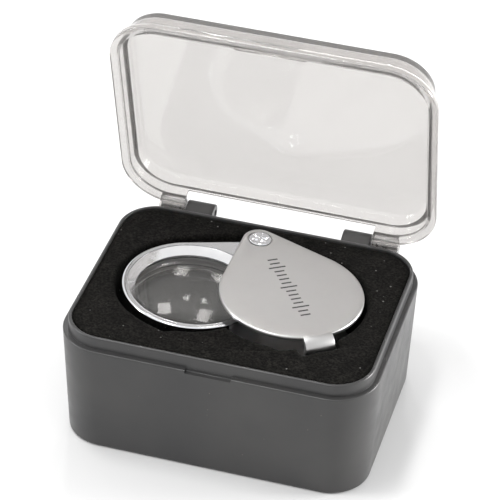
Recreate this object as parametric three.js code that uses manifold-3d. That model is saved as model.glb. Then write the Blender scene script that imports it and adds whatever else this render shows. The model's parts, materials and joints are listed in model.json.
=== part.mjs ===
// A folding pocket loupe lying half open in its own hard case.
// Millimetres, +Z up. The origin is the centre of the case's underside, +X runs to the case's
// right along its front, and +Y runs to the rear, where the clear lid is hinged.
import * as THREE from "three";
import { mergeVertices } from "three/addons/utils/BufferGeometryUtils.js";
import Module from "manifold-3d";

const wasm = await Module();
wasm.setup();

// ---- Driving dimensions: the case ------------------------------------------------------------
const caseWidth = 58;
const caseDepth = 43.8;
const caseCorner = 8.3;
const ledgeHeight = 22.3; // the step that the closed lid sits on
const rimHeight = 24.7; // the raised rim inside the lid
const rimOutset = 1.0; // ledge width, from the case's side to the rim
const wallThickness = 1.65;
const floorThickness = 1.6;
const footInset = 0.85; // how far each side draws in at the bottom
const notchWidth = 8.4; // thumb notch in the front of the ledge
const notchHeight = 0.55;
const notchStop = 0.05; // plastic left between the notch and the rim

// ---- Driving dimensions: the hinge and the lid -----------------------------------------------
const hingeBehind = 2.05; // axis behind the case's rear side
const hingeAbove = 0.65; // axis above the ledge
const openAngle = 76.8; // degrees from closed to the pose the lid stands in
const pinRadius = 0.6;
const pinFit = 0.06;
const knuckleInner = 12.4;
const knuckleOuter = 17.85;
const knuckleRadius = 1.6;
const knuckleRoot = 0.5; // how far each knuckle's web runs into the rim
const knuckleShoulder = 0.6; // height of the web above the axis, as a share of the radius
const earInner = 18.15;
const earOuter = 23.1;
const earRadius = 1.45;
const earRoot = 0.2; // air between each ear's web and the case's rear side
const earDrop = 0.5; // how far the web reaches below the axis
const pinInset = 0.3; // from a barrel's outer end to the pin's end
const lidHeight = 6.2;
const lidSeat = 0.1; // air between the closed lid and the ledge
const lidSkin = 1.1;
const lipOverhang = 1.1; // the lid's lip stands out past the case all round
const lipHeight = 1.4;
const lidDraw = 0.6; // how far each lid side draws in towards its top
const lidEdge = 1.2; // rounding of the lid's top edge
const rimClearance = 0.45;
const skirtDepth = 2.9; // height of the lid's recess for the rim
const hingeSpaceDepth = 2.5; // the rear opening in the lid's wall, for the knuckles
const hingeSpaceStep = 0.2; // how far that opening stays below the recess's top
const catchWidth = 13;
const catchHeight = 0.8;
const catchRoot = 0.2; // how far the bead runs into the lid's front wall
const catchGap = 0.15; // air between the bead and the rim

// ---- Driving dimensions: the foam ------------------------------------------------------------
const foamGap = 0.3;
const padTop = 10.7;
const foamTop = 24.4;
const pocketMargin = 1.0;
const tongueEnd = 9; // degrees that the foam tongue stops short of each end of the sweep

// ---- Driving dimensions: the loupe -----------------------------------------------------------
const pivotX = -1.06;
const pivotY = 14.64;
const pivotZ = 25.96; // the front plate's outer face, on the pivot axis
const loupePitch = -1.46; // degrees about X, as it lies in the foam
const loupeRoll = 3.09; // degrees about Y
const plateHeading = -53.83; // degrees from +X to the housing's long axis
const swingOpen = 65.88; // degrees from the housing's axis to the lens frame's
const armLength = 16.55; // pivot to lens centre
const plateThickness = 0.9;
const plateRadius = 13.1;
const plateNose = 3.2;
const loupeThickness = 14;
const tabWidth = 5.5;
const tabReach = 31.4; // pivot to the outer face of the folded tab
const tabBend = 2.3;
const seatMargin = 0.25; // the rivet head's recess in the front plate, past the head
const ringRadius = 12.95;
const ringBore = 12.05;
const ringDrop = 2.68; // front plate's outer face to the ring's front face
const clearAperture = 10.5; // a 21 mm lens
const bevelDepth = 1.19;
const retainerHeight = 1.65;
const retainerLand = 0.15; // flat rim outside the retainer's bevel
const lensRadius = 11.9;
const lensEdge = 1.25;
const lensSag = 1.15;
const lensBack = 0.25;
const lensSeat = 0.35; // room for the dome's rim under its retainer
const spacerBore = 10.9;
const hubRadius = 3.1;
const sleeveOuter = 1.7;
const sleeveInner = 1.2;
const shankRadius = 1.1;
const crimpRadius = 2.05;
const crimpSink = 0.4;
const crimpRise = 0.25;
const crimpPetals = 5;
const crimpCrown = 0.8; // the crimped head's flat top, as a share of its radius
const crimpEdge = 0.15;
const grooveStart = 0.25; // from the axis to each groove's inner end
const grooveHalf = 0.2;
const grooveDepth = 0.25;
const rivetHeadRadius = 1.9;
const rivetHeadHeight = 0.35;
const rivetHeadCrown = 0.75;
const washerRadius = 2.9;
const washerThickness = 0.28;
const rivetWasherRadius = 2.5;
const runningGap = 0.07;

// ---- Geometry helpers ------------------------------------------------------------------------
const segments = 48;
const smallSegments = 24; // for washers and other small turned pieces
const cornerSegments = 6;
const outlineSegments = 18; // for each arc of a teardrop outline
const lensSteps = 5;
const bevelSteps = 3;
const cutPast = 1; // how far a cutter runs past the face that it cuts
const mergeDistance = 1e-4;
const leastCorner = 1;
const radians = THREE.MathUtils.degToRad;

function solid(geometry) {
  const bare = geometry.index ? geometry.toNonIndexed() : geometry.clone();
  bare.deleteAttribute("normal");
  bare.deleteAttribute("uv");
  const merged = mergeVertices(bare, mergeDistance);
  return new wasm.Manifold(
    new wasm.Mesh({
      numProp: 3,
      vertProperties: new Float32Array(merged.attributes.position.array),
      triVerts: new Uint32Array(merged.index.array),
    }),
  );
}

function geometryOf(manifold) {
  const data = manifold.getMesh();
  const geometry = new THREE.BufferGeometry();
  geometry.setAttribute("position", new THREE.Float32BufferAttribute(data.vertProperties, 3));
  geometry.setIndex(Array.from(data.triVerts));
  geometry.computeVertexNormals();
  return geometry;
}

// Joins the first list and cuts away the second.
function carve(added, removed = []) {
  let body = solid(added[0]);
  for (const piece of added.slice(1)) body = body.add(solid(piece));
  for (const piece of removed) body = body.subtract(solid(piece));
  return geometryOf(body);
}

function roundedRectangle(width, depth, corner) {
  const x = width / 2;
  const y = depth / 2;
  const shape = new THREE.Shape();
  shape.moveTo(x - corner, -y);
  shape.absarc(x - corner, corner - y, corner, -Math.PI / 2, 0, false);
  shape.absarc(x - corner, y - corner, corner, 0, Math.PI / 2, false);
  shape.absarc(corner - x, y - corner, corner, Math.PI / 2, Math.PI, false);
  shape.absarc(corner - x, corner - y, corner, Math.PI, Math.PI * 1.5, false);
  return shape;
}

function extrude(shape, bottom, top, curveSegments = cornerSegments) {
  const options = { depth: top - bottom, bevelEnabled: false, curveSegments };
  return new THREE.ExtrudeGeometry(shape, options).translate(0, 0, bottom);
}

// A rounded block between two heights, set in from the case's own outline.
function caseBlock(inset, bottom, top) {
  const corner = Math.max(caseCorner - inset, leastCorner);
  return extrude(
    roundedRectangle(caseWidth - 2 * inset, caseDepth - 2 * inset, corner), bottom, top,
  );
}

// Draws the sides in by `inset` at height `narrow`, leaving them as they are at height `wide`.
function draft(geometry, width, depth, inset, narrow, wide) {
  const place = geometry.attributes.position;
  for (let i = 0; i < place.count; i++) {
    const share = (wide - place.getZ(i)) / (wide - narrow);
    place.setX(i, place.getX(i) * (1 - (share * 2 * inset) / width));
    place.setY(i, place.getY(i) * (1 - (share * 2 * inset) / depth));
  }
  return geometry;
}

function box(x0, x1, y0, y1, z0, z1) {
  const size = new THREE.BoxGeometry(x1 - x0, y1 - y0, z1 - z0);
  return size.translate((x0 + x1) / 2, (y0 + y1) / 2, (z0 + z1) / 2);
}

// A round bar along X.
function barX(radius, x0, x1, y, z) {
  const bar = new THREE.CylinderGeometry(radius, radius, x1 - x0, smallSegments);
  return bar.rotateZ(Math.PI / 2).translate((x0 + x1) / 2, y, z);
}

// A round bar along Z.
function barZ(radius, z0, z1, x = 0, sides = smallSegments) {
  const bar = new THREE.CylinderGeometry(radius, radius, z1 - z0, sides);
  return bar.rotateX(Math.PI / 2).translate(x, 0, (z0 + z1) / 2);
}

// Turns a closed profile of [radius, height] points about Z.
function turn(profile, sides = segments) {
  const points = profile.map(([radius, height]) => new THREE.Vector2(radius, height));
  return new THREE.LatheGeometry(points, sides).rotateX(Math.PI / 2);
}

function ring(inner, outer, z0, z1, sides = smallSegments) {
  return turn([[inner, z0], [outer, z0], [outer, z1], [inner, z1], [inner, z0]], sides);
}

// The outline round a small circle at the pivot and a large one at `length` along +X.
function teardrop(noseRadius, endRadius, length) {
  const lean = Math.acos((noseRadius - endRadius) / length);
  const shape = new THREE.Shape();
  shape.absarc(0, 0, noseRadius, lean, 2 * Math.PI - lean, false);
  shape.absarc(length, 0, endRadius, -lean, lean, false);
  return shape;
}

// ---- Case ------------------------------------------------------------------------------------
const hingeY = caseDepth / 2 + hingeBehind;
const hingeZ = ledgeHeight + hingeAbove;
const bothSides = [-1, 1];

// The two ends of a barrel along X, in order, on the given side of the case.
function barrelEnds(inner, outer, side) {
  return [inner * side, outer * side].sort((a, b) => a - b);
}

function caseBase() {
  const tray = draft(
    caseBlock(0, 0, ledgeHeight), caseWidth, caseDepth, footInset, 0, ledgeHeight,
  );
  const rim = caseBlock(rimOutset, ledgeHeight - cutPast, rimHeight);
  const cavity = caseBlock(wallThickness, floorThickness, rimHeight + cutPast);
  const front = -caseDepth / 2;
  const notch = box(
    -notchWidth / 2, notchWidth / 2, front - cutPast, front + rimOutset - notchStop,
    ledgeHeight - notchHeight, ledgeHeight + cutPast,
  );
  const added = [tray, rim];
  const removed = [cavity, notch];
  const webFace = caseDepth / 2 - rimOutset - knuckleRoot;
  const webTop = hingeZ + knuckleRadius * knuckleShoulder;
  for (const side of bothSides) {
    const [x0, x1] = barrelEnds(knuckleInner, knuckleOuter, side);
    added.push(barX(knuckleRadius, x0, x1, hingeY, hingeZ));
    added.push(box(x0, x1, webFace, hingeY, hingeZ - knuckleRadius, webTop));
    removed.push(barX(pinRadius + pinFit, x0 - cutPast, x1 + cutPast, hingeY, hingeZ));
  }
  return carve(added, removed);
}

function hingePin(side) {
  const [x0, x1] = barrelEnds(knuckleInner + pinInset, earOuter - pinInset, side);
  return barX(pinRadius, x0, x1, hingeY, hingeZ);
}

// The lid is drawn closed, and its group turns it open about the hinge.
function caseLid() {
  const seat = ledgeHeight + lidSeat;
  const top = seat + lidHeight;
  const options = {
    depth: lidHeight, bevelEnabled: true, bevelThickness: lidEdge, bevelSize: lidEdge,
    bevelOffset: -lidEdge, bevelSegments: bevelSteps, curveSegments: cornerSegments,
  };
  const outline = roundedRectangle(caseWidth, caseDepth, caseCorner);
  const shell = new THREE.ExtrudeGeometry(outline, options).translate(0, 0, seat - lidEdge);
  draft(shell, caseWidth, caseDepth, lidDraw, top, seat);
  const lip = extrude(
    roundedRectangle(
      caseWidth + 2 * lipOverhang, caseDepth + 2 * lipOverhang, caseCorner + lipOverhang,
    ),
    seat, seat + lipHeight,
  );
  const below = box(-caseWidth, caseWidth, -caseDepth, caseDepth, seat - lidHeight, seat);
  const recess = caseBlock(rimOutset - rimClearance, seat - cutPast, seat + skirtDepth);
  const upper = draft(
    caseBlock(lidSkin, seat + cutPast, top - lidSkin), caseWidth, caseDepth, lidDraw, top, seat,
  );
  const knuckleSpace = box(
    -earInner, earInner, caseDepth / 2 - hingeSpaceDepth, caseDepth,
    seat - cutPast, seat + skirtDepth - hingeSpaceStep,
  );
  const bead = box(
    -catchWidth / 2, catchWidth / 2,
    -caseDepth / 2 - catchRoot, -caseDepth / 2 + rimOutset - catchGap,
    seat, seat + catchHeight,
  );
  let body = solid(shell).subtract(solid(below)).add(solid(lip));
  body = body.subtract(solid(recess)).subtract(solid(upper)).subtract(solid(knuckleSpace));
  body = body.add(solid(bead));
  const webFace = caseDepth / 2 + earRoot;
  for (const side of bothSides) {
    const [x0, x1] = barrelEnds(earInner, earOuter, side);
    const web = box(x0, x1, webFace, hingeY, hingeZ - earDrop, hingeZ + earRadius);
    const bore = barX(pinRadius + 2 * pinFit, x0 - cutPast, x1 + cutPast, hingeY, hingeZ);
    body = body.add(solid(barX(earRadius, x0, x1, hingeY, hingeZ))).add(solid(web));
    body = body.subtract(solid(bore));
  }
  return geometryOf(body);
}

// ---- Foam ------------------------------------------------------------------------------------
const loupeTilt = new THREE.Euler(radians(loupePitch), radians(loupeRoll), 0, "YXZ");

// Turns and moves a foam cut from the loupe's own place to the case. The pocket is upright, so it
// is centred on the leaning loupe's middle depth.
function inPocket(geometry) {
  const middle = new THREE.Vector3(0, 0, -loupeThickness / 2).applyEuler(loupeTilt);
  return geometry.rotateZ(radians(plateHeading))
    .translate(pivotX + middle.x, pivotY + middle.y, 0);
}

// A sector about the pivot. Angles are in degrees, from the housing's axis.
function sector(reach, from, to, bottom, top) {
  const shape = new THREE.Shape();
  shape.moveTo(0, 0);
  shape.absarc(0, 0, reach, radians(from), radians(to), false);
  shape.lineTo(0, 0);
  return inPocket(extrude(shape, bottom, top, outlineSegments));
}

const foamInset = wallThickness + foamGap;
const insertBottom = padTop + foamGap;
const sweepReach = armLength + ringRadius + pocketMargin;

// The snug cut round the housing, its tab and the swung-out frame.
function snugPocket() {
  const bottom = insertBottom - cutPast;
  const top = foamTop + cutPast;
  const nose = plateNose + pocketMargin;
  const half = tabWidth / 2 + pocketMargin;
  const plate = teardrop(nose, plateRadius + pocketMargin, armLength);
  const frame = teardrop(nose, ringRadius + pocketMargin, armLength);
  return [
    extrude(plate, bottom, top, outlineSegments),
    extrude(frame, bottom, top, outlineSegments).rotateZ(-radians(swingOpen)),
    box(armLength, tabReach + pocketMargin, -half, half, bottom, top),
  ].map(inPocket);
}

function foamPad() {
  return caseBlock(foamInset, floorThickness + foamGap, padTop);
}

// The insert leaves out the whole sweep of the frame, which the tongue then fills.
function foamInsert() {
  const sweep = sector(sweepReach, -swingOpen, 0, insertBottom - cutPast, foamTop + cutPast);
  return carve([caseBlock(foamInset, insertBottom, foamTop)], [sweep, ...snugPocket()]);
}

// The foam between the housing and the swung-out frame. The frame presses it down as it folds.
function foamTongue() {
  const from = tongueEnd - swingOpen;
  const wedge = sector(sweepReach - foamGap, from, -tongueEnd, insertBottom, foamTop);
  return carve([wedge], snugPocket());
}

// ---- Loupe housing ---------------------------------------------------------------------------
// Each piece is drawn with the pivot on Z, the front plate's outer face at height 0 and the long
// axis along +X, and the rest of the loupe below it.
const rearFace = -loupeThickness;

// One strip folded round the end of the loupe, seen along its width.
function foldedStrip() {
  const start = armLength;
  const inner = tabBend - plateThickness;
  const end = tabReach - tabBend;
  const shape = new THREE.Shape();
  shape.moveTo(start, 0);
  shape.lineTo(start, -plateThickness);
  shape.lineTo(end, -plateThickness);
  shape.absarc(end, -tabBend, inner, Math.PI / 2, 0, true);
  shape.absarc(end, rearFace + tabBend, inner, 0, -Math.PI / 2, true);
  shape.lineTo(start, rearFace + plateThickness);
  shape.lineTo(start, rearFace);
  shape.absarc(end, rearFace + tabBend, tabBend, -Math.PI / 2, 0, false);
  shape.absarc(end, -tabBend, tabBend, 0, Math.PI / 2, false);
  return extrude(shape, -tabWidth / 2, tabWidth / 2).rotateX(Math.PI / 2);
}

function housing() {
  const outline = teardrop(plateNose, plateRadius, armLength);
  const plates = [
    extrude(outline, -plateThickness, 0, outlineSegments),
    extrude(outline, rearFace, rearFace + plateThickness, outlineSegments),
  ];
  const shank = barZ(sleeveInner, rearFace - cutPast, cutPast);
  const seat = barZ(crimpRadius + seatMargin, -crimpSink - runningGap, cutPast);
  return carve([foldedStrip(), ...plates], [shank, seat]);
}

function pivotRivet() {
  const head = rearFace - washerThickness - 2 * runningGap;
  const body = turn([
    [0, crimpRise],
    [crimpRadius * crimpCrown, crimpRise],
    [crimpRadius, crimpRise - crimpEdge],
    [crimpRadius, -crimpSink],
    [shankRadius, -crimpSink],
    [shankRadius, head],
    [rivetHeadRadius, head],
    [rivetHeadRadius * rivetHeadCrown, head - rivetHeadHeight],
    [0, head - rivetHeadHeight],
  ].reverse(), smallSegments);
  const grooves = [];
  for (let petal = 0; petal < crimpPetals; petal++) {
    const groove = box(
      grooveStart, crimpRadius * crimpCrown, -grooveHalf, grooveHalf,
      crimpRise - grooveDepth, crimpRise + cutPast,
    );
    grooves.push(groove.rotateZ((petal / crimpPetals) * 2 * Math.PI));
  }
  return carve([body], grooves);
}

const hubFront = -plateThickness - washerThickness - 2 * runningGap;
const hubRear = rearFace - hubFront;

function washer(front) {
  return ring(sleeveOuter + runningGap, washerRadius, front - washerThickness, front);
}

function rivetWasher() {
  const front = rearFace - runningGap;
  return ring(shankRadius + runningGap, rivetWasherRadius, front - washerThickness, front);
}

function pivotSleeve() {
  const front = -plateThickness - runningGap;
  return ring(sleeveInner, sleeveOuter, rearFace - front, front);
}

// ---- Lens frame ------------------------------------------------------------------------------
// Each piece of the lens frame is drawn folded into the housing, and its group swings it out.
const ringFront = -ringDrop;
const ringRear = rearFace + ringDrop;

function lensFrame() {
  const outline = teardrop(hubRadius, ringRadius, armLength);
  const arm = extrude(outline, ringRear, ringFront, outlineSegments);
  const hub = barZ(hubRadius, hubRear, hubFront);
  const lensBore = barZ(ringBore, ringRear - cutPast, ringFront + cutPast, armLength, segments);
  const hubBore = barZ(sleeveOuter + runningGap, hubRear - cutPast, hubFront + cutPast);
  return carve([arm, hub], [lensBore, hubBore]);
}

function atLens(geometry) {
  return geometry.translate(armLength, 0, 0);
}

// Mirrors a front piece to the back of the loupe.
function facingBack(geometry) {
  return geometry.rotateX(Math.PI).translate(0, 0, rearFace);
}

function retainer() {
  const front = ringFront - runningGap;
  const outer = ringBore - runningGap;
  const throat = front - bevelDepth;
  const back = front - retainerHeight;
  return turn([
    [clearAperture, back],
    [outer, back],
    [outer, front],
    [outer - retainerLand, front],
    [clearAperture, throat],
    [clearAperture, back],
  ]);
}

const lensFront = ringFront - retainerHeight - lensSeat;
const lensRear = lensFront - lensEdge;

// A lens with a strongly domed outer face and a nearly flat inner one.
function lens() {
  const profile = [[0, lensRear - lensBack]];
  for (let i = 1; i <= lensSteps; i++) {
    const share = i / lensSteps;
    profile.push([lensRadius * share, lensRear - lensBack * (1 - share * share)]);
  }
  for (let i = lensSteps; i >= 1; i--) {
    const share = i / lensSteps;
    profile.push([lensRadius * share, lensFront + lensSag * (1 - share * share)]);
  }
  profile.push([0, lensFront + lensSag]);
  return turn(profile);
}

function lensSpacer() {
  const front = lensRear - runningGap;
  return ring(spacerBore, ringBore - runningGap, rearFace - front, front, segments);
}

// ---- Materials -------------------------------------------------------------------------------
function material(color, roughness, metalness = 0, opacity = 1) {
  return new THREE.MeshStandardMaterial({
    color, roughness, metalness, opacity, transparent: opacity < 1,
  });
}

const blackPlastic = material(0x26262a, 0.38);
const clearPlastic = material(0xdedad7, 0.12, 0, 0.4);
const blackFoam = material(0x17171a, 0.97);
const satinSteel = material(0xc6c5c3, 0.34, 0.9);
const brightChrome = material(0xe4e5e8, 0.08, 1);
const plainSteel = material(0x9a9a9c, 0.3, 1);
const brass = material(0xb08d4a, 0.35, 1);
const springSteel = material(0x77787c, 0.35, 1);
const lensGlass = material(0xe8f2ee, 0.02, 0, 0.3);
const blackAnodised = material(0x111113, 0.5, 0.4);

// ---- Assembly --------------------------------------------------------------------------------
function add(group, name, geometry, look) {
  const mesh = new THREE.Mesh(geometry, look);
  mesh.name = name;
  group.add(mesh);
}

const part = new THREE.Group();
add(part, "case_base", caseBase(), blackPlastic);
add(part, "hinge_pin_left", hingePin(-1), plainSteel);
add(part, "hinge_pin_right", hingePin(1), plainSteel);
add(part, "foam_pad", foamPad(), blackFoam);
add(part, "foam_insert", foamInsert(), blackFoam);
add(part, "foam_tongue", foamTongue(), blackFoam);

const lidTurn = new THREE.Group();
lidTurn.position.set(0, hingeY, hingeZ);
lidTurn.rotation.x = -radians(openAngle);
part.add(lidTurn);
add(lidTurn, "case_lid", caseLid().translate(0, -hingeY, -hingeZ), clearPlastic);

const loupe = new THREE.Group();
loupe.position.set(pivotX, pivotY, pivotZ);
loupe.rotation.copy(loupeTilt);
part.add(loupe);

const folded = new THREE.Group();
folded.rotation.z = radians(plateHeading);
loupe.add(folded);
add(folded, "housing", housing(), satinSteel);
add(folded, "pivot_rivet", pivotRivet(), brightChrome);
add(folded, "rivet_washer", rivetWasher(), plainSteel);
add(folded, "pivot_sleeve", pivotSleeve(), brass);
add(folded, "friction_washer_front", washer(-plateThickness - runningGap), springSteel);
add(folded, "friction_washer_rear", washer(hubRear - runningGap), springSteel);

const swung = new THREE.Group();
swung.rotation.z = radians(plateHeading - swingOpen);
loupe.add(swung);
add(swung, "lens_frame", lensFrame(), brightChrome);
add(swung, "retainer_front", atLens(retainer()), brightChrome);
add(swung, "retainer_rear", atLens(facingBack(retainer())), brightChrome);
add(swung, "lens_front", atLens(lens()), lensGlass);
add(swung, "lens_rear", atLens(facingBack(lens())), lensGlass);
add(swung, "lens_spacer", atLens(lensSpacer()), blackAnodised);

export default part;
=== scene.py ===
"""A folding pocket loupe, half open in the foam of its own hard case, with the clear lid up."""
import json
import math

import bmesh
import bpy
from mathutils import Matrix, Vector, noise


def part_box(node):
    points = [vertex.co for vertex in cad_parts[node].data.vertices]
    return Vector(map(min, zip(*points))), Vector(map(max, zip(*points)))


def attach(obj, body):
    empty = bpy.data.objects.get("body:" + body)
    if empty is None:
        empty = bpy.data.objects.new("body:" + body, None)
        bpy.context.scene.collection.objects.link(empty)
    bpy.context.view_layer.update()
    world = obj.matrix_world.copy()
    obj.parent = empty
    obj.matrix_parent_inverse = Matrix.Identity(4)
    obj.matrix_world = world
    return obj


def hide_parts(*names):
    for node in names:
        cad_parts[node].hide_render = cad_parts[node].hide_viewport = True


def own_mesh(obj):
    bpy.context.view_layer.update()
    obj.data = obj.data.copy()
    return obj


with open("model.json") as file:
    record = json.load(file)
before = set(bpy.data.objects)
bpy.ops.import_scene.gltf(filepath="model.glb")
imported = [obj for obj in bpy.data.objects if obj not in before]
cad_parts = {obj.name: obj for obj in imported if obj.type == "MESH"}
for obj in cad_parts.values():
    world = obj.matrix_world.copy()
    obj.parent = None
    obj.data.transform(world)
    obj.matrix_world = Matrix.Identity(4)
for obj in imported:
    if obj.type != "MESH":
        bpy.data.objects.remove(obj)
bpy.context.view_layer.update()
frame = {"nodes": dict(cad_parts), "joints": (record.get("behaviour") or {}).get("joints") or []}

MM = 0.001
SEGMENTS = 128
CORNER_STEPS = 20
LEAST_CORNER = 0.6 * MM
BORE_SEGMENTS = 32
CUT_PAST = MM  # how far a cutter runs past the faces that it cuts
LEAST_TURN = 0.01  # radians: a flatter corner than this needs no rounding

# ---- Places taken from the frame ---------------------------------------------------------------
joints = {joint["name"]: joint for joint in frame["joints"]}
base_low, base_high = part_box("case_base")
case_half_x = base_high.x
case_half_y = -base_low.y
rim_top = base_high.z
hinge = Vector(joints["lid_hinge"]["pos_m"])
lid_open_angle = math.radians(joints["lid_hinge"]["range_deg"][1])
pivot = Vector(joints["lens_swing"]["pos_m"])
pivot_axis = Vector(joints["lens_swing"]["axis"])
swing_angle = math.radians(joints["lens_swing"]["range_deg"][1])

# ---- Case and lid sizes ------------------------------------------------------------------------
CASE_CORNER = 8.3 * MM
LEDGE_HEIGHT = 22.3 * MM
LEDGE_EDGE = 0.28 * MM
RIM_OUTSET = 1.0 * MM
RIM_DRAFT = 0.02 * MM
RIM_ROOT = 0.03 * MM
RIM_OUTER_EDGE = 0.42 * MM
RIM_INNER_EDGE = 0.3 * MM
WALL = 1.65 * MM
FLOOR = 1.6 * MM
FLOOR_CORNER = 0.2 * MM
CENTRE_INSET = 4 * MM  # how far in the caps of the floor and the underside start
FOOT_INSET = 0.85 * MM
FOOT_EDGE = 0.7 * MM
FOAM_REACH = 0.28 * MM  # how far the foam goes past its CAD solid to meet the walls
FOAM_VOXEL = 0.35  # in mm, as are the heights below
FOAM_WAVE = (140, 0.08)  # features per metre, height
FOAM_RIPPLE = (620, 0.03)
TONGUE_SIDE = 29.4 * MM  # from the pivot to just inside the tongue's curved outer side
TONGUE_OVERLAP = 0.9 * MM
NOTCH_HALF = 4.2 * MM
NOTCH_HEIGHT = 0.55 * MM
NOTCH_EDGE = 0.15 * MM
NOTCH_MARGIN = 0.08 * MM
KNUCKLE = (12.4 * MM, 17.85 * MM, 1.6 * MM)  # inner end, outer end, radius
KNUCKLE_ROOT = (0.9 * MM, 0.1 * MM, 0.95 * MM)  # in from the wall, above the ledge, radius
KNUCKLE_EDGE = 0.3 * MM
KNUCKLE_BORE_GAP = 0.06 * MM
EAR = (18.15 * MM, 23.1 * MM, 1.45 * MM)  # inner end, outer end, radius
EAR_ROOT = (0.6 * MM, 0.9 * MM, 0.7 * MM)  # out from the wall, above the lid's seat, radius
EAR_EDGE = 0.2 * MM
EAR_BORE_GAP = 0.12 * MM
PIN_RADIUS = 0.6 * MM
LID_SEAT = LEDGE_HEIGHT + 0.1 * MM
LID_HEIGHT = 6.2 * MM
LID_SKIN = 1.1 * MM
LID_DRAW = 0.6 * MM  # how far the lid's sides lean in over its whole height
LID_TOP_EDGE = 1.2 * MM
LID_INNER_EDGE = 0.9 * MM
LID_CENTRE_INSET = 5 * MM
LIP_OVERHANG = 1.1 * MM
LIP_HEIGHT = 1.4 * MM
LIP_ROOT = 0.3 * MM
LIP_TOP_EDGE = 0.4 * MM
LIP_LOW_EDGE = 0.35 * MM
RECESS_INSET = 0.55 * MM
RECESS_HEIGHT = 2.9 * MM
RECESS_EDGE = 0.15 * MM
RECESS_CORNER = 0.2 * MM
RECESS_STEP_EDGE = 0.25 * MM
KNUCKLE_SPACE_DEPTH = 2.5 * MM
KNUCKLE_SPACE_DROP = 0.2 * MM
KNUCKLE_SPACE_EDGE = 0.25 * MM
CATCH_HALF = 6.5 * MM
CATCH_REACH = 0.2 * MM
CATCH_GAP = 0.15 * MM
CATCH_HEIGHT = 0.8 * MM
CATCH_EDGE = 0.15 * MM

# ---- Loupe sizes -------------------------------------------------------------------------------
HEADING = math.radians(-53.83)  # the housing's long axis, from +X
ARM = 16.55 * MM
PLATE_RADIUS = 13.1 * MM
PLATE_NOSE = 3.2 * MM
PLATE = 0.9 * MM
PLATE_FRONT_EDGE = 0.4 * MM
PLATE_BACK_EDGE = 0.25 * MM
PLATE_CAP_INSET = 1.5 * MM
DEPTH = 14.0 * MM
TAB_HALF = 2.75 * MM
TAB_REACH = 31.4 * MM
TAB_BEND = 2.3 * MM
TAB_ROOT = 2 * MM
TAB_RELIEF = 0.01 * MM  # keeps the tab's faces off the plates' faces where they are joined
TAB_EDGE = 0.12 * MM
BEND_STEPS = 14
RING_RADIUS = 12.95 * MM
RING_BORE = 12.05 * MM
RING_DROP = 2.68 * MM
RING_EDGE = 0.35 * MM
RING_CAP_INSET = 0.8 * MM
APERTURE = 10.5 * MM
BEVEL_DEPTH = 1.19 * MM
RETAINER_LAND = 0.15 * MM
# Roundings, from the bore's inner corner out to the seat, forward and in along the bevel.
RETAINER_EDGES = (0.03 * MM, 0.05 * MM, 0.06 * MM, 0.04 * MM, 0.06 * MM)
RETAINER_HEIGHT = 1.65 * MM
LENS_RADIUS = 11.9 * MM
LENS_EDGE = 1.25 * MM
LENS_SAG = 1.15 * MM
LENS_BACK = 0.25 * MM
LENS_SEAT = 0.35 * MM
LENS_STEPS = 20
SPACER_BORE = 10.9 * MM
SPACER_EDGE = 0.05 * MM
HUB_RADIUS = 3.1 * MM
HUB_BORE = 1.77 * MM
GAP = 0.07 * MM  # between neighbours in the pivot and in the barrel
WASHER = 0.28 * MM
CRIMP_RADIUS = 2.05 * MM
CRIMP_SINK = 0.4 * MM
CRIMP_RISE = 0.25 * MM
CRIMP_SHOULDER = 0.2 * MM
CRIMP_CROWN = 0.08 * MM
CRIMP_DEPTH = 0.34 * MM
CRIMP_FLAT = 0.94  # the patterned face's share of the head's radius
CRIMP_STEPS = 14
SEAT_MARGIN = 0.25 * MM
PETALS = 5
PETAL_STEPS = 24
PETAL_CENTRE = 0.45  # of the head's radius, as are the two widths
PETAL_WIDTH = 0.24
PETAL_POWER = 2  # a higher power makes narrower petals
DIMPLE_WIDTH = 0.16
DIMPLE_DEPTH = 0.5  # of the petals' depth
SHANK_RADIUS = 1.1 * MM
REAR_HEAD = [(1.9, 0), (1.9, 0.12), (1.5, 0.33), (0.4, 0.35)]  # radius and depth, in mm
WASHER_EDGE = 0.05 * MM
PIN_EDGE = 0.1 * MM

# ---- Printed scale -----------------------------------------------------------------------------
TICK_START = 6.4 * MM
TICK_PITCH = 1.2 * MM
TICK_COUNT = 15
TICK_WIDTH = 0.34 * MM
TICK_HALF = 0.95 * MM
LONG_TICK_HALF = 1.6 * MM
LONG_TICK_EVERY = 5
FIRST_LONG_TICK = 2
INK_LOW = 0.004 * MM
INK_HIGH = 0.015 * MM

# ---- Scene sizes -------------------------------------------------------------------------------
CAMERA_AIM = Vector((-0.5, 5.7, 29.9)) * MM
CAMERA_AZIMUTH = math.radians(15.16)
CAMERA_ELEVATION = math.radians(36.55)
CAMERA_ROLL = math.radians(1.76)
CAMERA_DISTANCE = 471.5 * MM
CAMERA_LENS = 188.5
CAMERA_SENSOR = 36
CAMERA_CLIP = 0.01
CASE_MIDDLE = (0, 0, 0.02)
CASE_RIGHT_FACE = (0.03, 0, 0.01)
WORLD_STRENGTH = 0.95
FLOOR_HALF_SIZE = 6.0


# ---- Mesh helpers ------------------------------------------------------------------------------
def fillet(corners, steps=5):
    """Rounds each (a, b, radius) corner of an open path, and returns its (a, b) points."""
    path = [corners[0][:2]]
    for before, here, after in zip(corners, corners[1:], corners[2:]):
        point = Vector(here[:2])
        arrive = (point - Vector(before[:2])).normalized()
        leave = (Vector(after[:2]) - point).normalized()
        turn = arrive.angle(leave, 0.0)
        if here[2] == 0 or turn < LEAST_TURN:
            path.append(tuple(point))
            continue
        setback = here[2] * math.tan(turn / 2)
        start = point - arrive * setback
        end = point + leave * setback
        for i in range(steps + 1):
            share = i / steps
            edge = start.lerp(point, share).lerp(point.lerp(end, share), share)
            path.append(tuple(edge))
    path.append(corners[-1][:2])
    return path


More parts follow.
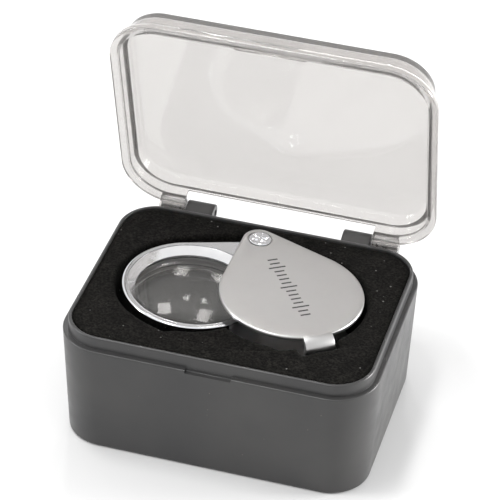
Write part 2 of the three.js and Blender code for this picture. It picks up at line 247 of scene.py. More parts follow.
def rounded_rectangle(inset):
    """The case's outline in plan, drawn in by `inset` all round."""
    corner = max(CASE_CORNER - inset, LEAST_CORNER)
    x = case_half_x - inset - corner
    y = case_half_y - inset - corner
    points = []
    for centre_x, centre_y, start in ((x, -y, -90), (x, y, 0), (-x, y, 90), (-x, -y, 180)):
        for i in range(CORNER_STEPS + 1):
            angle = math.radians(start + 90 * i / CORNER_STEPS)
            across, along = corner * math.cos(angle), corner * math.sin(angle)
            points.append((centre_x + across, centre_y + along))
    return points


def teardrop(nose, end, length, inset=0.0):
    """The outline round a small circle at the origin and a large one along +X."""
    nose, end = nose - inset, end - inset
    lean = math.acos((nose - end) / length)
    points = []
    for i in range(SEGMENTS // 2 + 1):
        angle = lean + (2 * math.pi - 2 * lean) * i / (SEGMENTS // 2)
        points.append((nose * math.cos(angle), nose * math.sin(angle)))
    for i in range(SEGMENTS + 1):
        angle = -lean + 2 * lean * i / SEGMENTS
        points.append((length + end * math.cos(angle), end * math.sin(angle)))
    return points


def new_object(name, mesh):
    """A new object in the scene, with the mesh given."""
    piece = bpy.data.objects.new(name, mesh)
    bpy.context.scene.collection.objects.link(piece)
    return piece


def smooth(piece, degrees=35):
    """Shades the piece smooth, but keeps its edges sharper than `degrees`."""
    bm = bmesh.new()
    bm.from_mesh(piece.data)
    bmesh.ops.recalc_face_normals(bm, faces=bm.faces)
    limit = math.radians(degrees)
    for face in bm.faces:
        face.smooth = True
    for edge in bm.edges:
        edge.smooth = len(edge.link_faces) == 2 and edge.calc_face_angle(0.0) < limit
    bm.to_mesh(piece.data)
    bm.free()
    return piece


def loft(name, sections, place=Matrix.Identity(4), ring=False):
    """Joins sections of equal length with quads, and caps the ends or, for a ring, closes it."""
    bm = bmesh.new()
    rows = [[bm.verts.new(place @ Vector(point)) for point in section] for section in sections]
    pairs = list(zip(rows, rows[1:])) + ([(rows[-1], rows[0])] if ring else [])
    count = len(rows[0])
    for low, high in pairs:
        for i in range(count):
            j = (i + 1) % count
            bm.faces.new((low[i], low[j], high[j], high[i]))
    if not ring:
        bm.faces.new(rows[0][::-1])
        bm.faces.new(rows[-1])
    bmesh.ops.recalc_face_normals(bm, faces=bm.faces)
    mesh = bpy.data.meshes.new(name)
    bm.to_mesh(mesh)
    bm.free()
    return smooth(new_object(name, mesh))


def lofted_case(name, corners, place=Matrix.Identity(4)):
    """A form whose every level is the case's outline, from (inset, height, radius) corners."""
    sections = [
        [(x, y, height) for x, y in rounded_rectangle(inset)] for inset, height in fillet(corners)
    ]
    return loft(name, sections, place)


def lathe(name, corners, place, segments=SEGMENTS, steps=4):
    """Turns a closed loop of (radius, height, rounding) corners about the local Z axis."""
    first = tuple((a + b) / 2 for a, b in zip(corners[0][:2], corners[-1][:2]))
    loop = fillet([first, *corners, first], steps)[:-1]
    sections = []
    for i in range(segments):
        angle = 2 * math.pi * i / segments
        sections.append([(r * math.cos(angle), r * math.sin(angle), z) for r, z in loop])
    return loft(name, sections, place, ring=True)


def turned_solid(name, path, place, segments=SEGMENTS):
    """Turns an open path of (radius, height) points into a solid with small caps on the axis."""
    sections = [
        [
            (r * math.cos(2 * math.pi * i / segments), r * math.sin(2 * math.pi * i / segments), z)
            for i in range(segments)
        ]
        for r, z in path
    ]
    return loft(name, sections, place)


def block(name, low, high, rounding, place=Matrix.Identity(4)):
    """A box with softened edges."""
    bm = bmesh.new()
    bmesh.ops.create_cube(bm, size=1)
    for vertex in bm.verts:
        for axis in range(3):
            vertex.co[axis] = high[axis] if vertex.co[axis] > 0 else low[axis]
    if rounding:
        bmesh.ops.bevel(
            bm, geom=bm.edges, offset=rounding, segments=3, profile=0.5, affect="EDGES",
        )
    bm.transform(place)
    mesh = bpy.data.meshes.new(name)
    bm.to_mesh(mesh)
    bm.free()
    return smooth(new_object(name, mesh))


def apply_modifiers(piece):
    """Replaces the piece's mesh with what its modifiers make of it."""
    bpy.context.view_layer.update()
    evaluated = piece.evaluated_get(bpy.context.evaluated_depsgraph_get())
    mesh = bpy.data.meshes.new_from_object(evaluated)
    piece.modifiers.clear()
    old = piece.data
    piece.data = mesh
    bpy.data.meshes.remove(old)


def combine(piece, other, operation):
    """Joins `other` to the piece, or cuts it away, and removes it."""
    modifier = piece.modifiers.new(operation, "BOOLEAN")
    modifier.operation = operation
    modifier.solver = "EXACT"
    modifier.object = other
    apply_modifiers(piece)
    bpy.data.objects.remove(other)
    return smooth(piece)


def soften(piece, width, segments=2, degrees=40):
    """Bevels the piece's edges that are sharper than `degrees`."""
    modifier = piece.modifiers.new("soft_edges", "BEVEL")
    modifier.width = width
    modifier.segments = segments
    modifier.limit_method = "ANGLE"
    modifier.angle_limit = math.radians(degrees)
    apply_modifiers(piece)
    return smooth(piece)


def copy_of(node, name):
    """A new piece that starts from a CAD node's mesh."""
    return new_object(name, frame["nodes"][node].data.copy())


def finish_piece(piece, body, material, slot, *nodes):
    """Gives the piece its material and its body, and hides the CAD nodes that it stands for; slot
    is not used.
    """
    piece.data.materials.clear()
    piece.data.materials.append(material)
    for polygon in piece.data.polygons:
        polygon.material_index = 0
    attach(piece, body)
    if nodes:
        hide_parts(*nodes)


# ---- Materials ---------------------------------------------------------------------------------
NOISE_LOW, NOISE_HIGH = 0.3, 0.7  # most of a noise texture lies between these
MIX_COLORS_IN, MIX_COLOR_OUT = (6, 7), 2  # a Mix node's sockets when it mixes colours


class Shader:
    """A Principled material with a few chained procedural details."""

    def __init__(self, name, color, roughness, metallic=0.0, **sockets):
        self.material = bpy.data.materials.new(name)
        self.material.use_nodes = True
        self.tree = self.material.node_tree
        self.bsdf = self.tree.nodes["Principled BSDF"]
        self.bsdf.inputs["Base Color"].default_value = (*color, 1)
        self.bsdf.inputs["Roughness"].default_value = roughness
        self.bsdf.inputs["Metallic"].default_value = metallic
        for socket, value in sockets.items():
            self.bsdf.inputs[socket.replace("_", " ")].default_value = value
        self.coordinates = self.tree.nodes.new("ShaderNodeTexCoord").outputs["Object"]
        self.height = None

    def noise(self, scale, detail=4.0, stretch=None):
        """Noise in object space; scale is in features per metre, and stretch squeezes axes."""
        coordinates = self.coordinates
        if stretch:
            mapping = self.tree.nodes.new("ShaderNodeMapping")
            mapping.inputs["Scale"].default_value = stretch
            self.tree.links.new(coordinates, mapping.inputs["Vector"])
            coordinates = mapping.outputs["Vector"]
        node = self.tree.nodes.new("ShaderNodeTexNoise")
        node.inputs["Scale"].default_value = scale
        node.inputs["Detail"].default_value = detail
        self.tree.links.new(coordinates, node.inputs["Vector"])
        return node.outputs["Fac"]

    def specks(self, scale, size):
        """Round specks: 1 on a speck and 0 between them."""
        node = self.tree.nodes.new("ShaderNodeTexVoronoi")
        node.inputs["Scale"].default_value = scale
        self.tree.links.new(self.coordinates, node.inputs["Vector"])
        return self.ramp(node.outputs["Distance"], size, size * 0.5)

    def ramp(self, value, low, high, out_low=0.0, out_high=1.0):
        """Maps the range from low to high onto the one from out_low to out_high."""
        node = self.tree.nodes.new("ShaderNodeMapRange")
        node.inputs["From Min"].default_value = low
        node.inputs["From Max"].default_value = high
        node.inputs["To Min"].default_value = out_low
        node.inputs["To Max"].default_value = out_high
        self.tree.links.new(value, node.inputs["Value"])
        return node.outputs["Result"]

    def blend_colors(self, value, first, second):
        node = self.tree.nodes.new("ShaderNodeMix")
        node.data_type = "RGBA"
        self.tree.links.new(value, node.inputs[0])
        for index, color in zip(MIX_COLORS_IN, (first, second)):
            if isinstance(color, tuple):
                node.inputs[index].default_value = (*color, 1)
            else:
                self.tree.links.new(color, node.inputs[index])
        return node.outputs[MIX_COLOR_OUT]

    def multiply(self, first, second):
        node = self.tree.nodes.new("ShaderNodeMath")
        node.operation = "MULTIPLY"
        self.tree.links.new(first, node.inputs[0])
        self.tree.links.new(second, node.inputs[1])
        return node.outputs[0]

    def color(self, output):
        self.tree.links.new(output, self.bsdf.inputs["Base Color"])

    def roughness(self, value, low, high):
        spread = self.ramp(value, NOISE_LOW, NOISE_HIGH, low, high)
        self.tree.links.new(spread, self.bsdf.inputs["Roughness"])

    def bump(self, value, distance, strength=1.0):
        node = self.tree.nodes.new("ShaderNodeBump")
        node.inputs["Distance"].default_value = distance
        node.inputs["Strength"].default_value = strength
        self.tree.links.new(value, node.inputs["Height"])
        if self.height:
            self.tree.links.new(self.height, node.inputs["Normal"])
        self.height = node.outputs["Normal"]
        self.tree.links.new(self.height, self.bsdf.inputs["Normal"])


def moulded_black():
    """Satin black plastic with a faint spark texture and handling marks."""
    shader = Shader(
        "moulded_black", (0.034, 0.034, 0.035), roughness=0.36, Specular_IOR_Level=0.5,
    )
    cloud = shader.ramp(shader.noise(scale=55, detail=4), NOISE_LOW, NOISE_HIGH)
    satin = shader.blend_colors(cloud, (0.029, 0.029, 0.030), (0.044, 0.043, 0.042))
    sparse = shader.ramp(shader.noise(scale=90, detail=1), 0.55, 0.6)
    dust = shader.multiply(shader.specks(scale=420, size=0.06), sparse)
    shader.color(shader.blend_colors(dust, satin, (0.13, 0.12, 0.10)))
    shader.roughness(shader.noise(scale=260, detail=5), low=0.30, high=0.42)
    shader.bump(shader.noise(scale=5200, detail=2), distance=0.012 * MM, strength=0.5)
    shader.bump(shader.noise(scale=120, detail=2), distance=0.08 * MM, strength=0.25)
    return shader.material


def clear_moulding():
    """Clear styrene with a faint warm tint and moulding flow."""
    shader = Shader(
        "clear_moulding", (0.69, 0.675, 0.66), roughness=0.05, Transmission_Weight=0.91,
        IOR=1.45,
    )
    cloud = shader.noise(scale=45, detail=3)
    shader.color(shader.blend_colors(cloud, (0.66, 0.642, 0.628), (0.70, 0.683, 0.668)))
    shader.roughness(shader.noise(scale=160, detail=4), low=0.04, high=0.10)
    flow = shader.noise(scale=90, detail=2, stretch=(1, 1, 0.4))
    shader.bump(flow, distance=0.05 * MM, strength=0.2)
    return shader.material


def flocked_foam():
    """Short black flock on foam, with a few pale specks of lint."""
    shader = Shader(
        "flocked_foam", (0.006, 0.006, 0.006), roughness=0.95, Sheen_Weight=0.04,
        Sheen_Roughness=0.6, Specular_IOR_Level=0.05,
    )
    shader.bsdf.inputs["Sheen Tint"].default_value = (0.35, 0.34, 0.33, 1)
    grain = shader.ramp(shader.noise(scale=2600, detail=3), 0.38, 0.66)
    patch = shader.ramp(shader.noise(scale=330, detail=4), NOISE_LOW, NOISE_HIGH, 0.35, 1.0)
    tuft = shader.multiply(grain, patch)
    nap = shader.blend_colors(tuft, (0.002, 0.002, 0.0018), (0.017, 0.016, 0.014))
    sparse = shader.ramp(shader.noise(scale=150, detail=1), 0.56, 0.6)
    lint = shader.multiply(shader.specks(scale=700, size=0.13), sparse)
    shader.color(shader.blend_colors(lint, nap, (0.16, 0.155, 0.15)))
    shader.bump(shader.noise(scale=2600, detail=3), distance=0.16 * MM, strength=0.9)
    shader.bump(shader.noise(scale=260, detail=3), distance=0.25 * MM, strength=0.35)
    return shader.material


def satin_nickel():
    """Bead-blasted nickel plate with faint handling marks."""
    shader = Shader("satin_nickel", (0.56, 0.555, 0.55), roughness=0.34, metallic=1.0)
    cloud = shader.noise(scale=110, detail=4)
    shader.color(shader.blend_colors(cloud, (0.54, 0.535, 0.53), (0.585, 0.58, 0.575)))
    shader.roughness(shader.noise(scale=420, detail=6), low=0.30, high=0.40)
    shader.bump(shader.noise(scale=9000, detail=2), distance=0.006 * MM, strength=0.5)
    return shader.material


def polished_chrome():
    """Bright plate, as on the lens frame and the rivet."""
    shader = Shader("polished_chrome", (0.80, 0.81, 0.83), roughness=0.07, metallic=1.0)
    shader.roughness(shader.noise(scale=300, detail=5), low=0.045, high=0.12)
    shader.bump(shader.noise(scale=500, detail=2), distance=0.008 * MM, strength=0.3)
    return shader.material


def turned_chrome():
    """Bright plate over fine turning marks, as on the bevelled rings."""
    shader = Shader("turned_chrome", (0.86, 0.86, 0.87), roughness=0.15, metallic=1.0)
    cloud = shader.noise(scale=350, detail=3)
    shader.color(shader.blend_colors(cloud, (0.80, 0.80, 0.82), (0.90, 0.90, 0.90)))
    shader.roughness(shader.noise(scale=900, detail=5), low=0.10, high=0.22)
    shader.bump(shader.noise(scale=1500, detail=3), distance=0.012 * MM, strength=0.5)
    return shader.material


def turned_metal(name, color, roughness):
    """Plain metal with turning marks, in any colour."""
    shader = Shader(name, color, roughness, metallic=1.0)
    lighter = tuple(min(1.0, channel * 1.25) for channel in color)
    shader.color(shader.blend_colors(shader.noise(scale=600, detail=4), color, lighter))
    shader.roughness(shader.noise(scale=700, detail=5), low=roughness * 0.8, high=roughness * 1.25)
    turning = shader.noise(scale=2500, detail=2, stretch=(1, 1, 8))
    shader.bump(turning, distance=0.006 * MM, strength=0.5)
    return shader.material


def coated_glass():
    """Coated lens glass, almost without colour."""
    shader = Shader(
        "coated_glass", (0.985, 0.99, 0.985), roughness=0.0, Transmission_Weight=1.0, IOR=1.5,
    )
    cloud = shader.noise(scale=60, detail=2)
    shader.color(shader.blend_colors(cloud, (0.98, 0.985, 0.98), (0.985, 0.995, 0.99)))
    shader.roughness(shader.noise(scale=400, detail=4), low=0.0, high=0.012)
    return shader.material


def printing_ink():
    """Matt dark ink for the printed scale."""
    shader = Shader("printing_ink", (0.035, 0.034, 0.034), roughness=0.55)
    grain = shader.noise(scale=2500, detail=3)
    shader.color(shader.blend_colors(grain, (0.025, 0.024, 0.024), (0.06, 0.058, 0.057)))
    shader.bump(shader.noise(scale=6000, detail=2), distance=0.004 * MM, strength=0.5)
    return shader.material


# ---- Case --------------------------------------------------------------------------------------
def along_x(name, outline, x0, x1, rounding, place=Matrix.Identity(4)):
    """A bar along X whose section is outline(inset) in Y and Z, with rounded ends."""
    cap = rounding * 2
    path = fillet([(cap, x0, 0), (0, x0, rounding), (0, x1, rounding), (cap, x1, 0)])
    sections = [[(x, y, z) for y, z in outline(inset)] for inset, x in path]
    return loft(name, sections, place)


def hinge_section(radius, root_y, root_z, root_radius):
    """A barrel round the hinge axis that runs into a root in the wall, as outline(inset)."""
    reach = Vector((root_y - hinge.y, root_z - hinge.z))
    turn = math.atan2(reach.y, reach.x)

    def outline(inset):
        points = teardrop(root_radius, radius, reach.length, inset)
        placed = []
        for along, across in points:
            along = reach.length - along
            placed.append((
                hinge.y + along * math.cos(turn) - across * math.sin(turn),
                hinge.z + along * math.sin(turn) + across * math.cos(turn),
            ))
        return placed

    return outline


def pin_bore(x0, x1, radius, place=Matrix.Identity(4)):
    """A cutter for the hinge pin's hole, from x0 to x1 along the hinge axis."""
    start = Matrix.Translation((x0 - CUT_PAST, hinge.y, hinge.z))
    turn = start @ Matrix.Rotation(math.pi / 2, 4, "Y")
    path = [(radius, 0), (radius, x1 - x0 + 2 * CUT_PAST)]
    return turned_solid("bore", path, place @ turn, BORE_SEGMENTS)


def make_base(material):
    """The case's black base, with its thumb notch and hinge knuckles."""
    corners = [
        (CENTRE_INSET, 0, 0),
        (FOOT_INSET, 0, FOOT_EDGE),
        (0, LEDGE_HEIGHT, LEDGE_EDGE),
        (RIM_OUTSET - RIM_DRAFT, LEDGE_HEIGHT, RIM_ROOT),
        (RIM_OUTSET, rim_top, RIM_OUTER_EDGE),
        (WALL, rim_top, RIM_INNER_EDGE),
        (WALL, FLOOR, FLOOR_CORNER),
        (CENTRE_INSET, FLOOR, 0),
    ]
    base = lofted_case("base_moulding", corners)
    low = (-NOTCH_HALF, -case_half_y - CUT_PAST, LEDGE_HEIGHT - NOTCH_HEIGHT)
    high = (NOTCH_HALF, -case_half_y + RIM_OUTSET - NOTCH_MARGIN, LEDGE_HEIGHT + CUT_PAST)
    combine(base, block("notch", low, high, NOTCH_EDGE), "DIFFERENCE")
    inner, outer, radius = KNUCKLE
    root_in, root_up, root_radius = KNUCKLE_ROOT
    section = hinge_section(radius, case_half_y - root_in, LEDGE_HEIGHT + root_up, root_radius)
    for side in (-1, 1):
        x0, x1 = sorted((inner * side, outer * side))
        knuckle = along_x("knuckle", section, x0, x1, KNUCKLE_EDGE)
        combine(knuckle, pin_bore(x0, x1, PIN_RADIUS + KNUCKLE_BORE_GAP), "DIFFERENCE")
        combine(base, knuckle, "UNION")
    finish_piece(base, "case", material, "black_plastic", "case_base")


def make_lid(material):
    """The clear lid, built shut and then turned open about the hinge."""
    about_hinge = Matrix.Translation(hinge)
    place = about_hinge @ Matrix.Rotation(-lid_open_angle, 4, "X") @ about_hinge.inverted()
    shoulder = LID_DRAW * LIP_HEIGHT / LID_HEIGHT
    inner_low = LID_SKIN + LID_DRAW * RECESS_HEIGHT / LID_HEIGHT
    inner_high = LID_SKIN + LID_DRAW * (LID_HEIGHT - LID_SKIN) / LID_HEIGHT
    top = LID_SEAT + LID_HEIGHT
    corners = [
        (LID_CENTRE_INSET, top, 0),
        (LID_DRAW, top, LID_TOP_EDGE),
        (shoulder, LID_SEAT + LIP_HEIGHT, LIP_ROOT),
        (-LIP_OVERHANG, LID_SEAT + LIP_HEIGHT, LIP_TOP_EDGE),
        (-LIP_OVERHANG, LID_SEAT, LIP_LOW_EDGE),
        (RECESS_INSET, LID_SEAT, RECESS_EDGE),
        (RECESS_INSET, LID_SEAT + RECESS_HEIGHT, RECESS_CORNER),
        (inner_low, LID_SEAT + RECESS_HEIGHT, RECESS_STEP_EDGE),
        (inner_high, top - LID_SKIN, LID_INNER_EDGE),
        (LID_CENTRE_INSET, top - LID_SKIN, 0),
    ]
    lid = lofted_case("lid_moulding", corners, place)
    inner, outer, radius = EAR
    low = (-inner, case_half_y - KNUCKLE_SPACE_DEPTH, LID_SEAT - CUT_PAST)
    high = (inner, case_half_y * 2, LID_SEAT + RECESS_HEIGHT - KNUCKLE_SPACE_DROP)
    combine(lid, block("knuckle_space", low, high, KNUCKLE_SPACE_EDGE, place), "DIFFERENCE")
    low = (-CATCH_HALF, -case_half_y - CATCH_REACH, LID_SEAT)
    high = (CATCH_HALF, -case_half_y + RIM_OUTSET - CATCH_GAP, LID_SEAT + CATCH_HEIGHT)
    combine(lid, block("catch", low, high, CATCH_EDGE, place), "UNION")
    root_out, root_up, root_radius = EAR_ROOT
    section = hinge_section(radius, case_half_y + root_out, LID_SEAT + root_up, root_radius)
    for side in (-1, 1):
        x0, x1 = sorted((inner * side, outer * side))
        combine(lid, along_x("ear", section, x0, x1, EAR_EDGE, place), "UNION")
        combine(lid, pin_bore(x0, x1, PIN_RADIUS + EAR_BORE_GAP, place), "DIFFERENCE")
    finish_piece(lid, "lid", material, "clear_plastic", "case_lid")


# ---- Foam --------------------------------------------------------------------------------------
def soften_foam(piece, low, high):
    """Remeshes a foam piece finely, softens its cut edges and makes its faces a little uneven."""
    piece.data.transform(Matrix.Scale(1 / MM, 4))
    remesh = piece.modifiers.new("even_mesh", "REMESH")
    remesh.mode = "VOXEL"
    remesh.voxel_size = FOAM_VOXEL
    ease = piece.modifiers.new("soft_cut", "SMOOTH")
    ease.factor = 0.5
    ease.iterations = 2
    apply_modifiers(piece)
    piece.data.transform(Matrix.Scale(MM, 4))
    (wave_scale, wave_height), (ripple_scale, ripple_height) = FOAM_WAVE, FOAM_RIPPLE
    normals = [vertex.normal.copy() for vertex in piece.data.vertices]
    for vertex, normal in zip(piece.data.vertices, normals):
        wave = noise.noise(vertex.co * wave_scale) * wave_height
        wave += noise.noise(vertex.co * ripple_scale) * ripple_height
        moved = vertex.co + normal * wave * MM
        vertex.co = [min(max(moved[axis], low[axis]), high[axis]) for axis in range(3)]
    return smooth(piece, degrees=60)


def reach_wall(point):
    """Moves a point that is close to the case's wall out to it, and returns any other as it is."""
    across = abs(point.x) - case_half_x + CASE_CORNER
    along = abs(point.y) - case_half_y + CASE_CORNER
    outward = Vector((max(across, 0), max(along, 0), 0))
    if outward.length < CASE_CORNER - WALL - 2 * FOAM_REACH:
        return point
    outward = outward.normalized() * FOAM_REACH
    x, y = math.copysign(outward.x, point.x), math.copysign(outward.y, point.y)
    return point + Vector((x, y, 0))


def reach_insert(point):
    """Moves the foam tongue's curved outer side into the insert, so that no seam shows."""
    outward = Vector((point.x - pivot.x, point.y - pivot.y, 0))
    if outward.length < TONGUE_SIDE:
        return point
    return point + outward.normalized() * TONGUE_OVERLAP


def make_foam(node, name, material):
    """A foam piece that touches the case's walls, which the CAD solid stops just short of."""
    piece = copy_of(node, name)
    for vertex in piece.data.vertices:
        vertex.co = reach_wall(vertex.co)
        if node == "foam_tongue":
            vertex.co = reach_insert(vertex.co)
    reach = TONGUE_OVERLAP if node == "foam_tongue" else FOAM_REACH
    spare = Vector((reach, reach, 0))
    low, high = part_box(node)
    soften_foam(piece, low - spare, high + spare)
    finish_piece(piece, "case", material, "foam", node)
    return piece


# ---- Loupe -------------------------------------------------------------------------------------
roll = math.atan2(pivot_axis.x, pivot_axis.z)
pitch = -math.asin(pivot_axis.y)
lean = Matrix.Rotation(roll, 4, "Y") @ Matrix.Rotation(pitch, 4, "X")
at_pivot = Matrix.Translation(pivot) @ lean
housing_place = at_pivot @ Matrix.Rotation(HEADING, 4, "Z")
frame_place = at_pivot @ Matrix.Rotation(HEADING - swing_angle, 4, "Z")
lens_place = frame_place @ Matrix.Translation((ARM, 0, 0))
lens_far_side = lens_place @ Matrix.Translation((0, 0, -DEPTH))
lens_back_place = lens_far_side @ Matrix.Rotation(math.pi, 4, "X")


def teardrop_plate(name, nose, end, corners, place):
    """A teardrop plate whose edge follows (inset, height, radius) corners."""
    sections = [
        [(x, y, z) for x, y in teardrop(nose, end, ARM, inset)] for inset, z in fillet(corners)
    ]
    return loft(name, sections, place)


def upright_cylinder(name, radius, low, high, place):
    """A cylinder round the place's Z axis, from low to high."""
    return turned_solid(name, [(radius, low), (radius, high)], place)


def folded_tab(place):
    """The strip that is folded round the end of the loupe and joins its two plates."""
    start = ARM + PLATE_RADIUS - TAB_ROOT
    end = TAB_REACH - TAB_BEND

    def bend(radius, centre, first, last):
        angles = [
            math.radians(first + (last - first) * i / BEND_STEPS) for i in range(BEND_STEPS + 1)
        ]
        return [(end + radius * math.cos(a), centre + radius * math.sin(a)) for a in angles]

    inner = TAB_BEND - PLATE
    outline = [(start, -TAB_RELIEF), (start, -PLATE + TAB_RELIEF)]
    outline += bend(inner, -TAB_BEND, 90, 0) + bend(inner, -DEPTH + TAB_BEND, 0, -90)
    outline += [(start, -DEPTH + PLATE - TAB_RELIEF), (start, -DEPTH + TAB_RELIEF)]
    outline += bend(TAB_BEND, -DEPTH + TAB_BEND, -90, 0) + bend(TAB_BEND, -TAB_BEND, 0, 90)
    sections = [[(x, y, z) for x, z in outline] for y in (-TAB_HALF, TAB_HALF)]
    return soften(loft("tab", sections, place), TAB_EDGE, degrees=50)


def make_housing(material):
    """The two teardrop plates and the folded tab, as one sheet."""
    front = [
        (PLATE_CAP_INSET, 0, 0), (0, 0, PLATE_FRONT_EDGE),
        (0, -PLATE, PLATE_BACK_EDGE), (PLATE_CAP_INSET, -PLATE, 0),
    ]
    rear = [(inset, -DEPTH - z, radius) for inset, z, radius in front][::-1]
    housing = teardrop_plate("housing_sheet", PLATE_NOSE, PLATE_RADIUS, front, housing_place)
    back = teardrop_plate("rear_plate", PLATE_NOSE, PLATE_RADIUS, rear, housing_place)
    combine(housing, folded_tab(housing_place), "UNION")
    combine(housing, back, "UNION")
    seat_radius = CRIMP_RADIUS + SEAT_MARGIN
    seat = upright_cylinder("seat", seat_radius, -CRIMP_SINK - GAP, CUT_PAST, housing_place)
    combine(housing, seat, "DIFFERENCE")
    finish_piece(housing, "loupe", material, "satin_steel", "housing")


def make_scale(material):
    """Printed graduations along the front plate, in place of the maker's marking."""
    bm = bmesh.new()
    for i in range(TICK_COUNT):
        half = LONG_TICK_HALF if i % LONG_TICK_EVERY == FIRST_LONG_TICK else TICK_HALF
        left = TICK_START + i * TICK_PITCH
        right = left + TICK_WIDTH
        corners = [(left, -half), (right, -half), (right, half), (left, half)]
        low = [bm.verts.new(housing_place @ Vector((x, y, INK_LOW))) for x, y in corners]
        high = [bm.verts.new(housing_place @ Vector((x, y, INK_HIGH))) for x, y in corners]
        bm.faces.new(high)
        bm.faces.new(low[::-1])
        for j in range(4):
            k = (j + 1) % 4
            bm.faces.new((low[j], low[k], high[k], high[j]))
    mesh = bpy.data.meshes.new("printed_scale")
    bm.to_mesh(mesh)
    bm.free()
    finish_piece(new_object("printed_scale", mesh), "loupe", material, "black_metal")


def make_rivet(material):
    """The pivot rivet, with a crimped rosette on its front head."""
    segments = PETALS * PETAL_STEPS

    def petal(radius, angle):
        """How deep the crimp goes, from 0 to 1."""
        share = radius / CRIMP_RADIUS
        band = math.exp(-(((share - PETAL_CENTRE) / PETAL_WIDTH) ** 2))
        lobe = (0.5 + 0.5 * math.cos(PETALS * angle)) ** PETAL_POWER
        return band * lobe + DIMPLE_DEPTH * math.exp(-((share / DIMPLE_WIDTH) ** 2))

    sections = []
    for i in range(1, CRIMP_STEPS + 1):
        radius = CRIMP_RADIUS * CRIMP_FLAT * i / CRIMP_STEPS
        row = []
        for j in range(segments):
            angle = 2 * math.pi * j / segments
            crown = CRIMP_RISE - CRIMP_CROWN * (i / CRIMP_STEPS) ** 4
            height = crown - CRIMP_DEPTH * petal(radius, angle)
            row.append((radius * math.cos(angle), radius * math.sin(angle), height))
        sections.append(row)
    head = -DEPTH - WASHER - 2 * GAP
    below = [
        (CRIMP_RADIUS, CRIMP_RISE - CRIMP_SHOULDER), (CRIMP_RADIUS, -CRIMP_SINK),
        (SHANK_RADIUS, -CRIMP_SINK), (SHANK_RADIUS, head),
    ]
    below += [(radius * MM, head - depth * MM) for radius, depth in REAR_HEAD]
    for radius, z in below:
        turns = [2 * math.pi * j / segments for j in range(segments)]
        sections.append([(radius * math.cos(a), radius * math.sin(a), z) for a in turns])
    rivet = loft("crimped_rivet", sections, housing_place)
    finish_piece(rivet, "loupe", material, "bright_chrome", "pivot_rivet")


def make_lens_frame(material):
    """The swinging frame: the lens barrel, its arm and the hub on the pivot."""
    front, rear = -RING_DROP, -DEPTH + RING_DROP
    corners = [
        (RING_CAP_INSET, front, 0), (0, front, RING_EDGE),
        (0, rear, RING_EDGE), (RING_CAP_INSET, rear, 0),
    ]
    body = teardrop_plate("swing_frame", HUB_RADIUS, RING_RADIUS, corners, frame_place)
    hub_front = -PLATE - WASHER - 2 * GAP
    hub = upright_cylinder("hub", HUB_RADIUS, -DEPTH - hub_front, hub_front, frame_place)
    combine(body, hub, "UNION")
    bore = upright_cylinder("bore", RING_BORE, rear - CUT_PAST, front + CUT_PAST, lens_place)
    combine(body, bore, "DIFFERENCE")
    hub_bore = upright_cylinder("hub_bore", HUB_BORE, -DEPTH, 0, frame_place)
    combine(body, hub_bore, "DIFFERENCE")
    finish_piece(body, "lens", material, "bright_chrome", "lens_frame")


def make_retainer(name, node, place, material):
    """A bevelled ring that holds a lens in the barrel."""
    bore_edge, seat_edge, outer_edge, land_edge, bevel_edge = RETAINER_EDGES
    front = -RING_DROP - GAP
    outer = RING_BORE - GAP
    corners = [
        (APERTURE, front - RETAINER_HEIGHT, bore_edge),
        (outer, front - RETAINER_HEIGHT, seat_edge),
        (outer, front, outer_edge),
        (outer - RETAINER_LAND, front, land_edge),
        (APERTURE, front - BEVEL_DEPTH, bevel_edge),
    ]
    finish_piece(lathe(name, corners, place), "lens", material, "bright_chrome", node)


def make_lens(name, node, place, material):
    """A lens that bulges to the front and a little to the back."""
    front = -RING_DROP - RETAINER_HEIGHT - LENS_SEAT
    rear = front - LENS_EDGE
    shares = [i / LENS_STEPS for i in range(1, LENS_STEPS + 1)]
    path = [(LENS_RADIUS * s, rear - LENS_BACK * (1 - s * s)) for s in shares]
    path += [(LENS_RADIUS * s, front + LENS_SAG * (1 - s * s)) for s in reversed(shares)]
    finish_piece(turned_solid(name, path, place), "lens", material, "lens_glass", node)


def make_spacer(material):
    """The dark ring that keeps the two lenses apart."""
    front = -RING_DROP - RETAINER_HEIGHT - LENS_SEAT - LENS_EDGE - GAP
    outer = RING_BORE - GAP
    corners = [
        (SPACER_BORE, -DEPTH - front, SPACER_EDGE), (outer, -DEPTH - front, SPACER_EDGE),
        (outer, front, SPACER_EDGE), (SPACER_BORE, front, SPACER_EDGE),
    ]
    piece = lathe("barrel_spacer", corners, lens_place)
    finish_piece(piece, "lens", material, "black_metal", "lens_spacer")


def make_trim(node, name, body, material, slot, width):
    """A small CAD piece with its edges eased."""
    piece = soften(copy_of(node, name), width)
    finish_piece(piece, body, material, slot, node)


# ---- Studio ------------------------------------------------------------------------------------
def make_floor():
    """A wide pale floor under the case."""
    shader = Shader("studio_floor", (0.7, 0.7, 0.7), roughness=0.8)
    cloud = shader.noise(scale=4, detail=2)
    shader.color(shader.blend_colors(cloud, (0.695, 0.695, 0.695), (0.705, 0.705, 0.705)))
    bm = bmesh.new()
    bmesh.ops.create_grid(bm, x_segments=4, y_segments=4, size=FLOOR_HALF_SIZE)
    mesh = bpy.data.meshes.new("studio_floor")
    bm.to_mesh(mesh)
    bm.free()
    mesh.materials.append(shader.material)
    new_object("studio_floor", mesh)


def softbox(name, place, size, watts, aim=CASE_MIDDLE):
    """A rectangular light at `place`, turned to face `aim`."""
    light = bpy.data.lights.new(name, "AREA")
    light.shape = "RECTANGLE"
    light.size, light.size_y = size
    light.energy = watts
    lamp = bpy.data.objects.new(name, light)
    bpy.context.scene.collection.objects.link(lamp)
    lamp.location = place
    lamp.rotation_euler = (Vector(aim) - Vector(place)).to_track_quat("-Z", "Y").to_euler()


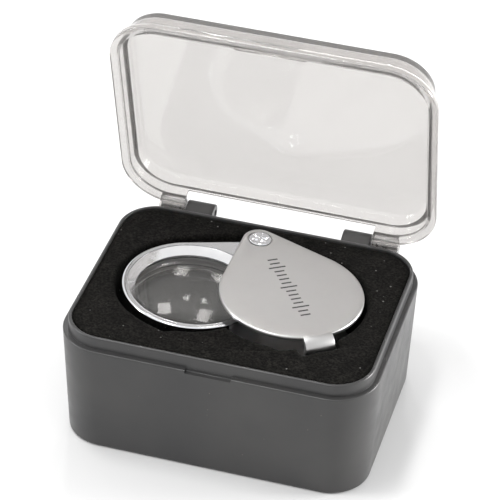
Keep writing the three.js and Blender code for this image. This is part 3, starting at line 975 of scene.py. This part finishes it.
def make_studio():
    make_floor()
    world = bpy.data.worlds.new("studio")
    world.use_nodes = True
    world.node_tree.nodes["Background"].inputs["Color"].default_value = (1, 1, 1, 1)
    world.node_tree.nodes["Background"].inputs["Strength"].default_value = WORLD_STRENGTH
    scene = bpy.context.scene
    scene.world = world
    scene.view_settings.view_transform = "Standard"
    softbox("overhead", (-0.16, -0.04, 0.8), size=(0.3, 0.1), watts=2.4)
    softbox("rear_window_left", (-0.2, 0.5, 0.62), size=(0.045, 0.08), watts=0.6)
    softbox("rear_window_right", (-0.05, 0.5, 0.62), size=(0.045, 0.08), watts=0.6)
    softbox("left_window", (-0.7, -0.25, 0.35), size=(0.2, 0.3), watts=3.0)
    softbox("right_window", (0.7, 0.3, 0.12), size=(0.3, 0.2), watts=9.0, aim=CASE_RIGHT_FACE)


def make_camera():
    away = Vector((
        math.sin(CAMERA_AZIMUTH) * math.cos(CAMERA_ELEVATION),
        -math.cos(CAMERA_AZIMUTH) * math.cos(CAMERA_ELEVATION),
        math.sin(CAMERA_ELEVATION),
    ))
    data = bpy.data.cameras.new("camera")
    data.lens = CAMERA_LENS
    data.sensor_width = CAMERA_SENSOR
    data.clip_start = CAMERA_CLIP
    camera = bpy.data.objects.new("camera", data)
    bpy.context.scene.collection.objects.link(camera)
    camera.location = CAMERA_AIM + away * CAMERA_DISTANCE
    look = (-away).to_track_quat("-Z", "Y").to_matrix().to_4x4()
    camera.rotation_euler = (look @ Matrix.Rotation(CAMERA_ROLL, 4, "Z")).to_euler()
    bpy.context.scene.camera = camera


# ---- Build -------------------------------------------------------------------------------------
make_camera()
make_studio()

black = moulded_black()
foam = flocked_foam()
nickel = satin_nickel()
chrome = polished_chrome()
glass = coated_glass()
steel = turned_metal("plain_steel", (0.45, 0.45, 0.46), roughness=0.3)

make_base(black)
make_lid(clear_moulding())
make_foam("foam_pad", "bottom_foam", foam)
make_foam("foam_insert", "pocket_foam", foam)
tongue = make_foam("foam_tongue", "pressed_foam", foam)
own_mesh(tongue)
make_housing(nickel)
make_scale(printing_ink())
make_rivet(chrome)
make_lens_frame(chrome)
turned = turned_chrome()
make_retainer("front_bevel_ring", "retainer_front", lens_place, turned)
make_retainer("rear_bevel_ring", "retainer_rear", lens_back_place, turned)
make_lens("front_glass", "lens_front", lens_place, glass)
make_lens("rear_glass", "lens_rear", lens_back_place, glass)
make_spacer(turned_metal("barrel_grey", (0.42, 0.39, 0.36), roughness=0.35))
for node, name, body, width in (
    ("hinge_pin_left", "left_pin", "case", PIN_EDGE),
    ("hinge_pin_right", "right_pin", "case", PIN_EDGE),
    ("rivet_washer", "rear_washer", "loupe", WASHER_EDGE),
    ("friction_washer_front", "front_shim", "loupe", WASHER_EDGE),
    ("friction_washer_rear", "rear_shim", "loupe", WASHER_EDGE),
):
    make_trim(node, name, body, steel, "steel", width)
brass = turned_metal("turned_brass", (0.5, 0.36, 0.14), roughness=0.3)
make_trim("pivot_sleeve", "brass_sleeve", "loupe", brass, "brass_sleeve", WASHER_EDGE)

bpy.context.view_layer.update()
